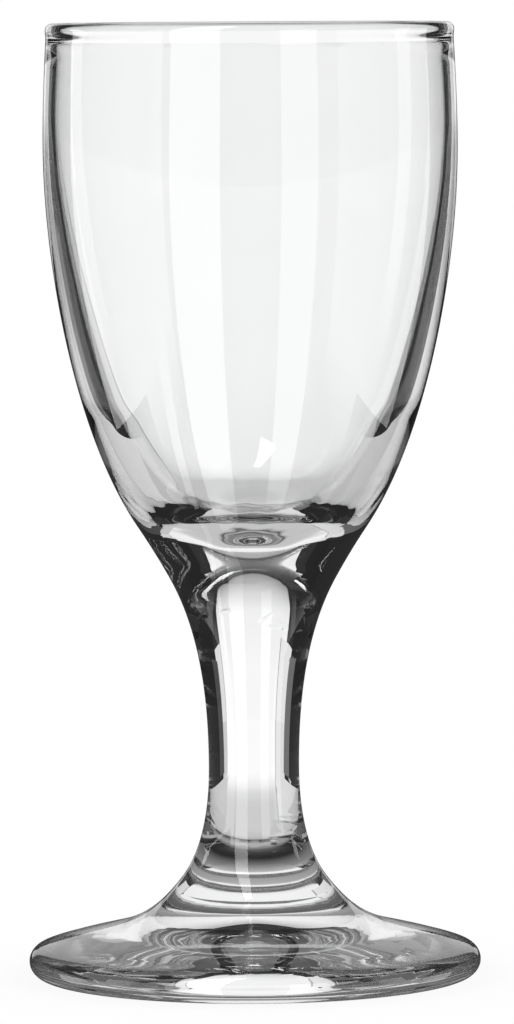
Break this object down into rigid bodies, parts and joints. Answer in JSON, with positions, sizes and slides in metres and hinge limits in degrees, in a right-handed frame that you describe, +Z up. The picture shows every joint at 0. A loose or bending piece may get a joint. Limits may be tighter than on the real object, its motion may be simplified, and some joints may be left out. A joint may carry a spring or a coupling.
{
  "type": "sherry glass",
  "caption": "Small clear stemware glass: round blown bowl with a beaded rim and thick floor, solid waisted stem and thick round foot with a hollow underside.",
  "frame": {"origin": "middle of the resting plane under the foot", "axes": "+Z up along the axis of the glass, from the foot to the rim"},
  "size_m": [0.0542, 0.0542, 0.1142],
  "materials": {
    "rim_glass": "fire-polished clear soda-lime glass",
    "bowl_glass": "smooth blown clear soda-lime glass",
    "stem_glass": "pressed clear soda-lime glass with faint chill ripples and mould seams",
    "foot_glass": "pressed clear soda-lime glass, faintly rippled under the foot"
  },
  "bodies": {
    "root": {"rim": "rim_glass", "bowl": "bowl_glass", "stem": "stem_glass", "foot": "foot_glass"}
  },
  "joints": []
}
